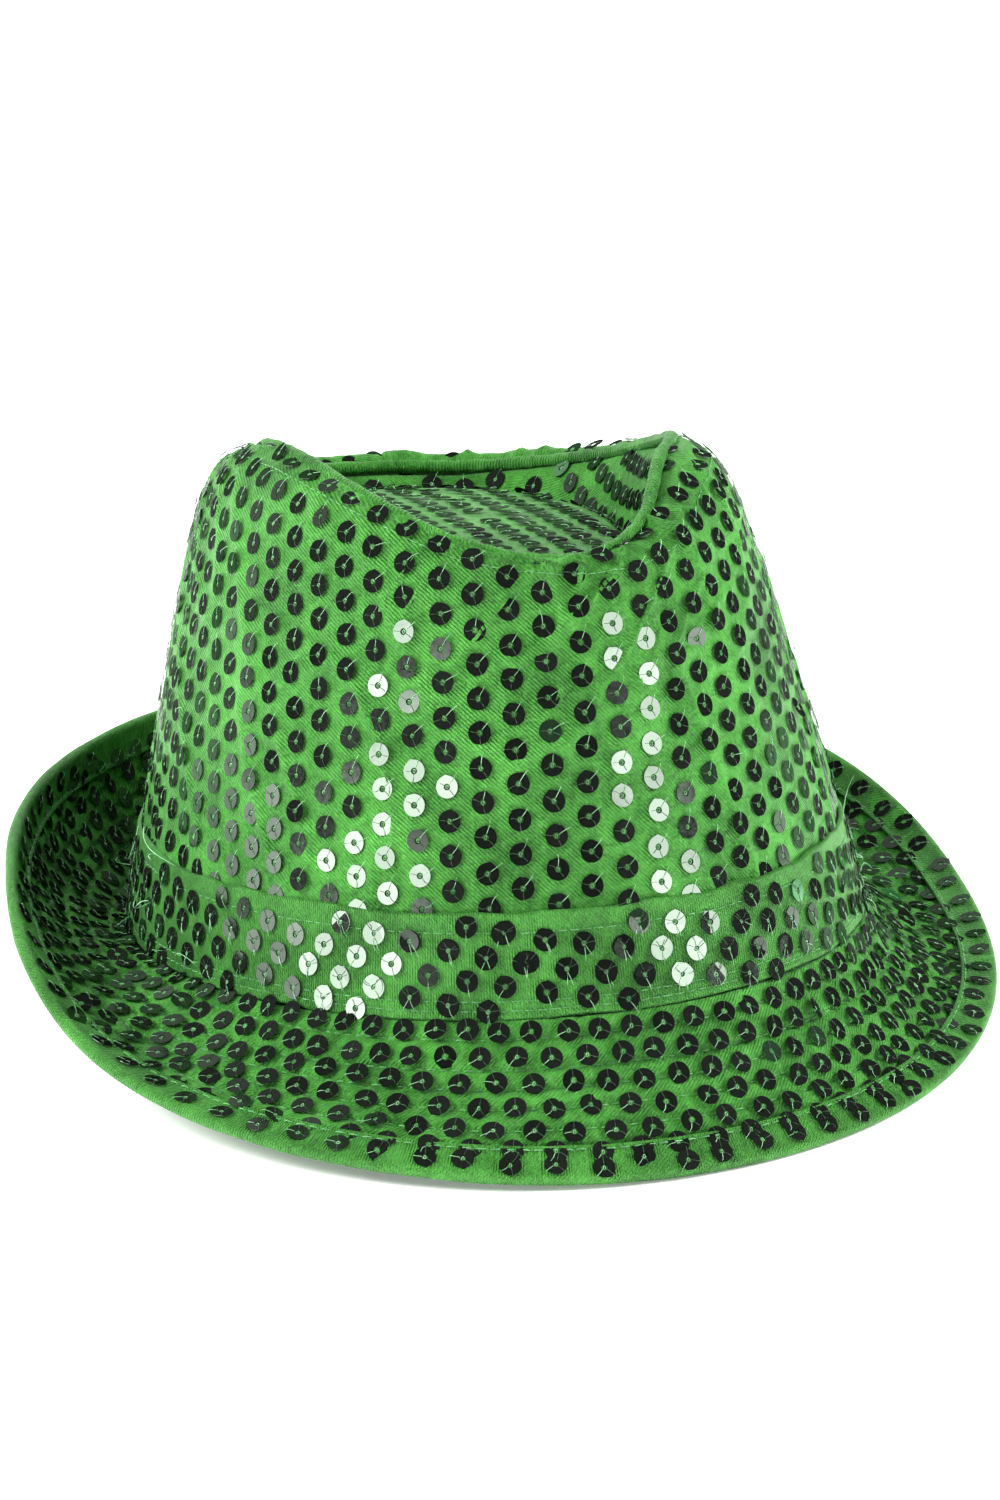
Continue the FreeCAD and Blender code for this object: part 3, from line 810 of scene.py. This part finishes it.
def make_sequins(name, centres, frames, rng):
    rings = disc_ring(SEQUIN_SIDES)
    rows, columns = rings.shape[:2]
    local = rings.reshape(-1, 3)
    turns = rng.normal(math.pi / 2, 0.35, len(centres))
    c, s = np.cos(turns)[:, None], np.sin(turns)[:, None]
    across, along, out = frames
    turned = (across * c + along * s, along * c - across * s, out)
    points = in_frames(local, centres, turned)
    corner_rows, corner_columns = grid_quads(rows, columns)
    quads = corner_rows * columns + corner_columns % columns
    faces = (np.arange(len(centres))[:, None, None] * len(local) + quads[None]).reshape(-1, 4)
    a, b, d = (points[0][quads[:, k]] - points[0].mean(axis=0) for k in (0, 1, 2))
    if np.einsum("ij,ij->", a, np.cross(b, d)) < 0:
        faces = faces[:, ::-1]
    obj = mesh_piece(name, points.reshape(-1, 3), np.ascontiguousarray(faces), smooth=False)
    tone = rng.uniform(0, 0.8, len(centres))
    tone[rng.uniform(size=len(centres)) < PALE_SEQUINS] = 1.0
    layer = obj.data.attributes.new("tone", "FLOAT", "POINT")
    layer.data.foreach_set("value", np.repeat(tone, len(local)).astype(np.float32))
    return finish_piece(obj, MATERIALS["sequin"])


def strands(name, paths, radius, material="thread"):
    """Thin threads: paths is an array (N, K, 3) in the hat's frame; each is a four-sided tube."""
    paths = np.asarray(paths)
    count, length = paths.shape[:2]
    forward = np.gradient(paths, axis=1)
    forward = unit(forward + 1e-9)
    helper = np.where(np.abs(forward[..., 2:]) < 0.9, np.array([0.0, 0, 1]), np.array([1.0, 0, 0]))
    first = unit(np.cross(forward, helper))
    second = np.cross(forward, first)
    thin = np.ones(length)
    thin[0] = thin[-1] = 0.55
    rings = []
    for k in range(4):
        t = k * math.pi / 2
        rings.append(paths + (first * math.cos(t) + second * math.sin(t)) * radius * thin[None, :, None])
    points = np.stack(rings, 2).reshape(-1, 3)
    block = length * 4
    i, k = np.meshgrid(np.arange(length - 1), np.arange(4), indexing="ij")
    i, k = i.ravel(), k.ravel()
    quads = np.stack([i * 4 + k, i * 4 + (k + 1) % 4, (i + 1) * 4 + (k + 1) % 4, (i + 1) * 4 + k], 1)
    caps = np.array([[3, 2, 1, 0], [block - 4, block - 3, block - 2, block - 1]])
    quads = np.concatenate([quads, caps])
    faces = (np.arange(count)[:, None, None] * block + quads[None]).reshape(-1, 4)
    obj = mesh_piece(name, points, np.ascontiguousarray(faces))
    return finish_piece(obj, MATERIALS[material])


def tie_threads(name, centres, frames, headings, reaches, pale, rng):
    """Three threads out of every hole, over the disc and into the cloth: a pale one, two dull ones."""
    paths = []
    for heading, reach in zip(headings, reaches):
        turn = heading + rng.normal(0, 0.3, len(centres))
        far = reach * rng.uniform(0.85, 1.2, len(centres))
        across, along, out = frames
        direction = across * np.cos(turn)[:, None] + along * np.sin(turn)[:, None]
        bow = np.cross(out, direction) * rng.normal(0, 0.16, len(centres))[:, None]
        stops = []
        for share, height in ((0.0, -0.35), (0.08, 0.08), (0.5, 0.16), (0.82, 0.12), (1.0, -0.3)):
            lift = out * (SEQUIN_THICK + height)
            away = 0.6 + (far - 0.6) * share
            stops.append(centres + direction * away[:, None] + bow * math.sin(math.pi * share) + lift)
        paths.append(np.stack(stops, 1))
    strands(name + "_pale", paths.pop(pale), 0.06)
    strands(name, np.concatenate(paths), 0.05, "dull_thread")


def knots(name, centres, frames, rng):
    """The small tangle of thread that fills each hole."""
    turn = np.linspace(0, 2.2 * math.pi, 9)
    local = vectors(0.42 * np.cos(turn) * (1 - 0.07 * turn), 0.42 * np.sin(turn), 0.02 * turn - 0.12)
    paths = in_frames(local, centres, frames)
    return strands(name, paths, 0.07)


def crown_sequins(rng):
    """The side panel's sequins, on the straight grid of the flat cloth."""
    columns, rows = np.meshgrid(np.arange(-42, 43), np.arange(-6, 32), indexing="ij")
    x = GRID_X + COLUMN_GAP * columns.ravel()
    y = GRID_Y + ROW_GAP * (rows.ravel() + 0.5 * (columns.ravel() % 2))
    x = x + rng.normal(0, 0.14, x.shape)
    y = y + rng.normal(0, 0.14, y.shape)
    c, s = math.cos(GRID_TURN), math.sin(GRID_TURN)
    x, y = c * x - s * y, s * x + c * y
    reach = np.hypot(x, FAN_RADIUS - y)
    arc = np.arctan2(x, FAN_RADIUS - y) * FAN_RADIUS
    climbed = FAN_RADIUS - reach
    keep = (np.abs(arc) < HEADLINE[1][-1] - 1.5) & (climbed > BAND_HEIGHT - 1.0)
    arc, climbed = arc[keep], climbed[keep]
    angles = np.interp(arc, HEADLINE[1], HEADLINE[0])
    places = np.linspace(0, 1.97, 198)
    lengths = climb_lengths(side, angles, places)
    along = np.array([np.interp(d, row, places, right=9) for d, row in zip(climbed, lengths)])
    back_crest = (np.abs(angles) > 2.0) & (along > 0.93) & (along < 1.3)
    keep = (along < 1.9) & ~back_crest
    return angles[keep], along[keep], climbed[keep]


def place_sequins(name, surface, facing_at, angle, place, lift, tilt, rng, thread):
    """Discs and their threads over a surface, at angles and places."""
    centres = surface(angle, place)
    normals = facing_at(angle, place)
    inward = np.sum(normals * thread["side"](centres), axis=1, keepdims=True) < 0
    normals = np.where(inward, -normals, normals)
    step = 1e-3
    ups = unit(surface(angle, place + step) - surface(angle, place - step))
    odd = rng.uniform(size=len(angle)) < thread.get("odd", 0.03)
    tilts = np.where(odd, tilt * 4, tilt) * rng.uniform(0.4, 1.4, len(angle))
    frames = tilted_frames(normals, ups, tilts, rng)
    lift = lift + tilts * SEQUIN_RADIUS * 0.5
    centres = centres + normals * lift[:, None]
    make_sequins(name + "_sequins", centres, frames, rng)
    tie_threads(name + "_ties", centres, frames, thread["headings"], thread["reaches"], thread["pale"], rng)
    knots(name + "_knots", centres, frames, rng)


def away_from_axis(points):
    return points * np.array([1, 1, 0]) + np.array([0, 0, 20.0])


def upward(points):
    return np.broadcast_to(np.array([0.0, 0, 1]), points.shape)


CROWN_TIES = {"headings": [0.95, 3.05, -1.05], "reaches": [3.7, 2.4, 2.6],
              "pale": 0, "side": away_from_axis}
BRIM_TIES = {"headings": [2.5, 0.65, -1.45], "reaches": [2.6, 2.8, 3.7],
             "pale": 1, "side": upward, "odd": 0.08}
BAND_TIES = {"headings": [2.5, 0.65, -1.45], "reaches": [2.6, 2.7, 3.4],
             "pale": 2, "side": away_from_axis}


def sew_crown_side(rng):
    angle, along, climbed = crown_sequins(rng)
    lift = 0.34 + np.clip(side_relief(angle, climbed) + 0.2, -0.1, 1.3)
    place_sequins("crown_side", side, side_facing, angle, along, lift, 0.028, rng, CROWN_TIES)


def sew_crown_tip(rng):
    columns, rows = np.meshgrid(np.arange(-10, 11), np.arange(-16, 17), indexing="ij")
    x = COLUMN_GAP * columns.ravel() + rng.normal(0, 0.14, columns.size)
    y = ROW_GAP * (rows.ravel() + 0.5 * (columns.ravel() % 2)) + rng.normal(0, 0.14, columns.size)
    edge_angles = np.linspace(-np.pi, np.pi, 721)
    edge = seam(edge_angles)
    heading = np.unwrap(np.arctan2(edge[:, 0], -edge[:, 1]))
    whole_turns = 2 * np.pi * np.round(heading[360] / (2 * np.pi))
    angle = np.interp(np.arctan2(x, -y), heading - whole_turns, edge_angles)
    places = np.linspace(0, 1, 201)
    lengths = climb_lengths(tip, angle, places)
    share = np.array([np.interp(d, row, places, right=9) for d, row in zip(np.hypot(x, y), lengths)])
    keep = (share < 0.965) & (share > 0.001)
    angle, share, x, y = angle[keep], share[keep], x[keep], y[keep]
    lift = 0.34 + np.clip(tip_relief(x, y) + 0.2, -0.1, 0.5)
    place_sequins("crown_tip", tip, tip_facing, angle, share, lift, 0.04, rng,
                  dict(CROWN_TIES, side=upward))


def sew_brim(rng):
    """Six uneven rows that drift in and out round the brim."""
    per_row = 84
    angles, across = [], []
    for row, place in enumerate([2.2, 8.3, 14.2, 20.0, 25.6, 30.4]):
        arc = (np.arange(per_row) + 0.5 * (row % 2)) / per_row - 0.5
        arc = arc * (BRIM_LINE[1][-1] - BRIM_LINE[1][0]) + rng.normal(0, 0.35, per_row)
        found = np.interp(arc, BRIM_LINE[1], BRIM_LINE[0])
        drift = 1.9 * np.sin(2 * found + 0.9) + 1.1 * noise(arc / 60, arc * 0, 61)
        angles.append(found)
        across.append(place + drift + rng.normal(0, 0.3, per_row))
    angle, place = np.concatenate(angles), np.concatenate(across)
    keep = (place > 0.6) & (place < 32.6)
    angle, place = angle[keep], place[keep]
    lift = 0.38 + np.clip(brim_relief(angle, place) + 0.3, 0.0, 0.5)
    place_sequins("brim", brim, brim_facing, angle, place, lift, 0.085, rng, BRIM_TIES)


def sew_band(rng):
    """Slanting rows, cut off by the band's hems."""
    slant, pitch, spacing = -0.17, 8.7, 5.7
    length = HEADLINE[1][-1] - HEADLINE[1][0]
    columns, rows = np.meshgrid(np.arange(-40, 41), np.arange(-8, 14), indexing="ij")
    x = pitch * (columns.ravel() + 0.5 * (rows.ravel() % 2)) + rng.normal(0, 0.2, columns.size)
    y = spacing * rows.ravel() + 2.6 + rng.normal(0, 0.2, columns.size)
    y = y + slant * x
    y = (y - 1.4) % (spacing * 4) + 1.4
    keep = (np.abs(x) < length / 2 - 2) & (y > 1.6) & (y < BAND_HEIGHT - 2.9)
    keep &= np.abs(rows.ravel()) < 4
    angle, height = np.interp(x[keep], HEADLINE[1], HEADLINE[0]), y[keep]
    lift = 0.36 + np.clip(band_relief(angle, height) + 0.1, 0, 0.5)
    place_sequins("band", band, lambda a, h: facing(band, a, h), angle, height, lift, 0.035, rng, BAND_TIES)


def sew_binding(rng):
    count = 83
    turn = (np.arange(count) + rng.normal(0, 0.07, count)) / count - 0.5
    arc = turn * (BRIM_LINE[1][-1] - BRIM_LINE[1][0])
    angle = np.interp(arc, BRIM_LINE[1], BRIM_LINE[0])
    place = BRIM_WIDTH - BINDING_WIDTH / 2 + 0.6 + rng.normal(0, 0.7, count)
    lift = np.full(count, GAP + BINDING_THICK + 0.3)
    place_sequins("binding", brim, brim_facing, angle, place, lift, 0.07, rng, BRIM_TIES)


def build_sequins():
    rng = np.random.default_rng(11)
    for sew in (sew_crown_side, sew_crown_tip, sew_brim, sew_band, sew_binding):
        sew(rng)


def stitch_row(surface_at, angles, lift):
    """Stitches along a line of angles: each dips into the cloth at both ends."""
    starts, ends = angles[:-1], angles[1:]
    stops = []
    for share, height in ((0.06, -0.18), (0.25, 0.12), (0.5, 0.2), (0.75, 0.12), (0.94, -0.18)):
        stops.append(surface_at(starts + (ends - starts) * share, lift + height))
    return np.stack(stops, 1)


def even_angles(table, gap, rng):
    arcs = np.arange(table[1][0], table[1][-1], gap)
    arcs[1:-1] += rng.normal(0, 0.12, len(arcs) - 2)
    return np.interp(arcs, table[1], table[0])


def build_stitching():
    rng = np.random.default_rng(12)
    paths = []
    for row in BRIM_STITCHES:
        def on_brim(a, up, row=row):
            arc = np.interp(a, *BRIM_LINE)
            place = row + 0.35 * noise(arc / 17, arc * 0, 11)
            return brim(a, place) + brim_facing(a, place) * (brim_relief(a, place) + up)[..., None]
        paths.append(stitch_row(on_brim, even_angles(BRIM_LINE, 3.0, rng), 0.1))

    def on_binding(a, up):
        place = np.full(a.shape, BRIM_WIDTH - BINDING_WIDTH + 1.0)
        return binding_place(a, place, np.full(a.shape, GAP + BINDING_THICK)) + brim_facing(a, place) * up

    paths.append(stitch_row(on_binding, even_angles(BRIM_LINE, 2.8, rng), 0.08))
    strands("brim_topstitching", np.concatenate(paths), 0.17, "stitch")

    paths = []
    for row in BAND_STITCHES:
        def on_band(a, up, row=row):
            return band_place(a, np.full(a.shape, row), np.zeros(a.shape)) + outward(a) * up
        paths.append(stitch_row(on_band, even_angles(HEADLINE, 2.8, rng), 0.08))
    strands("band_topstitching", np.concatenate(paths), 0.13, "stitch")

    def on_crown(a, up):
        return side_off(a, np.full(a.shape, 0.985), -up, True)

    front = even_angles(HEADLINE, 3.2, rng)
    strands("crown_topstitching", stitch_row(on_crown, front, 0.1), 0.12, "stitch")


def build_frays():
    """Loose ends of thread at the band's edges on the wearer's left, and a few elsewhere."""
    rng = np.random.default_rng(13)
    paths = []
    for angle, height, length in zip(
            np.concatenate([rng.uniform(1.1, 1.75, 26), rng.uniform(-1.9, -1.2, 12)]),
            rng.choice([1.5, 22.5, 12.0, 3.5], 38),
            rng.uniform(5, 12, 38)):
        root = band(angle, height)[None, :]
        n = outward(np.array([angle]))
        lie = np.array([math.cos(angle), math.sin(angle), 0.0])[None, :] * rng.normal(0, 0.7)
        share = np.linspace(0, 1, 9)[:, None]
        fall = np.array([0, 0, rng.normal(-0.3, 0.5)])[None, :]
        curl = rng.normal(0, 1.2, 3)[None, :] * np.sin(share * math.pi)
        paths.append(root + n * (0.2 + 0.28 * length * share) + (lie + fall) * length * share + curl)
    strands("loose_thread_ends", np.array(paths), 0.11)


# ---------------------------------------------------------------- floor, light and camera

def build_floor():
    floor_mesh = bpy.data.meshes.new("floor")
    reach = 2.2
    floor_mesh.from_pydata([(-reach, -reach, 0), (reach, -reach, 0), (reach, reach, 0), (-reach, reach, 0)],
                           [], [(0, 1, 2, 3)])
    floor = bpy.data.objects.new("floor", floor_mesh)
    bpy.context.scene.collection.objects.link(floor)
    paper, nodes, links, shader = new_material("pale_paper")
    shader.inputs["Base Color"].default_value = (0.93, 0.93, 0.93, 1)
    shader.inputs["Roughness"].default_value = 0.9
    shader.inputs["Emission Color"].default_value = (1, 1, 1, 1)
    shader.inputs["Emission Strength"].default_value = 0.25
    floor_mesh.materials.append(paper)


def studio_light(name, azimuth, elevation, distance, width, height, power, lean=0, mirrored=True):
    """A rectangular light aimed at the hat: mirrored ones show only in reflections, the rest never do."""
    light = bpy.data.lights.new(name, "AREA")
    light.shape = "RECTANGLE"
    light.size = width
    light.size_y = height
    light.energy = power
    holder = bpy.data.objects.new(name, light)
    a, e = math.radians(azimuth), math.radians(elevation)
    back = Vector((math.sin(a) * math.cos(e), -math.cos(a) * math.cos(e), math.sin(e)))
    holder.location = Vector((0, 0, 0.06)) + back * distance
    holder.rotation_mode = "QUATERNION"
    leaning = Matrix.Rotation(math.radians(lean), 3, "Z").to_quaternion()
    holder.rotation_quaternion = back.to_track_quat("Z", "Y") @ leaning
    holder.visible_glossy = mirrored
    holder.visible_diffuse = not mirrored
    bpy.context.scene.collection.objects.link(holder)


def build_lights():
    studio_light("strip_right_of_hat", -75, 5, 1.5, 0.31, 1.3, 11, -62)
    studio_light("strip_left_of_hat", 41, 11, 1.5, 0.54, 0.85, 12, 24)
    studio_light("soft_right", -98, 33, 2.3, 1.2, 1.0, 96, mirrored=False)
    studio_light("soft_left", 86, 33, 2.3, 1.2, 1.0, 108, mirrored=False)
    studio_light("soft_high", -80, 66, 1.7, 0.9, 0.9, 11, mirrored=False)
    studio_light("soft_top", -20, 66, 1.6, 1.3, 1.3, 8, mirrored=False)


def build_surroundings():
    """A dark room in front of the hat and a bright one behind it; the camera itself sees pale grey."""
    world = bpy.data.worlds.new("studio")
    bpy.context.scene.world = world
    world.use_nodes = True
    nodes, links = world.node_tree.nodes, world.node_tree.links
    background = nodes["Background"]
    place = node(nodes, "ShaderNodeTexCoord")
    split = node(nodes, "ShaderNodeSeparateXYZ")
    links.new(place.outputs["Generated"], split.inputs["Vector"])
    back_wall = ramp(nodes, [(0.78, (0.022, 0.022, 0.022, 1)), (0.95, (1.1, 1.1, 1.1, 1))])
    shift = node(nodes, "ShaderNodeMath", operation="MULTIPLY_ADD")
    shift.inputs[1].default_value = 0.5
    shift.inputs[2].default_value = 0.5
    links.new(split.outputs["Y"], shift.inputs[0])
    links.new(shift.outputs[0], back_wall.inputs["Fac"])
    seen = node(nodes, "ShaderNodeLightPath")
    choose = node(nodes, "ShaderNodeMix", data_type="RGBA")
    choose.inputs["B"].default_value = (0.97, 0.97, 0.97, 1)
    links.new(seen.outputs["Is Camera Ray"], choose.inputs["Factor"])
    links.new(back_wall.outputs["Color"], choose.inputs["A"])
    links.new(choose.outputs["Result"], background.inputs["Color"])
    bpy.context.scene.view_settings.view_transform = "Standard"


def build_camera():
    """A long lens from the hat's front right, a little above it."""
    camera = bpy.data.cameras.new("camera")
    camera.sensor_width = 36
    camera.lens = 124.37
    camera.clip_start, camera.clip_end = 0.05, 20
    holder = bpy.data.objects.new("camera", camera)
    azimuth, elevation, roll = math.radians(-16.69), math.radians(18.89), math.radians(0.49)
    look_at, distance = Vector((0.0021, 0.0080, 0.0521)), 1.218
    back = Vector((math.sin(azimuth) * math.cos(elevation), -math.cos(azimuth) * math.cos(elevation),
                   math.sin(elevation)))
    turn = back.to_track_quat("Z", "Y") @ Matrix.Rotation(roll, 3, "Z").to_quaternion()
    holder.location = look_at + back * distance
    holder.rotation_mode = "QUATERNION"
    holder.rotation_quaternion = turn
    bpy.context.scene.collection.objects.link(holder)
    bpy.context.scene.camera = holder


build_fabric()
build_sequins()
build_stitching()
build_frays()
build_floor()
build_lights()
build_surroundings()
build_camera()
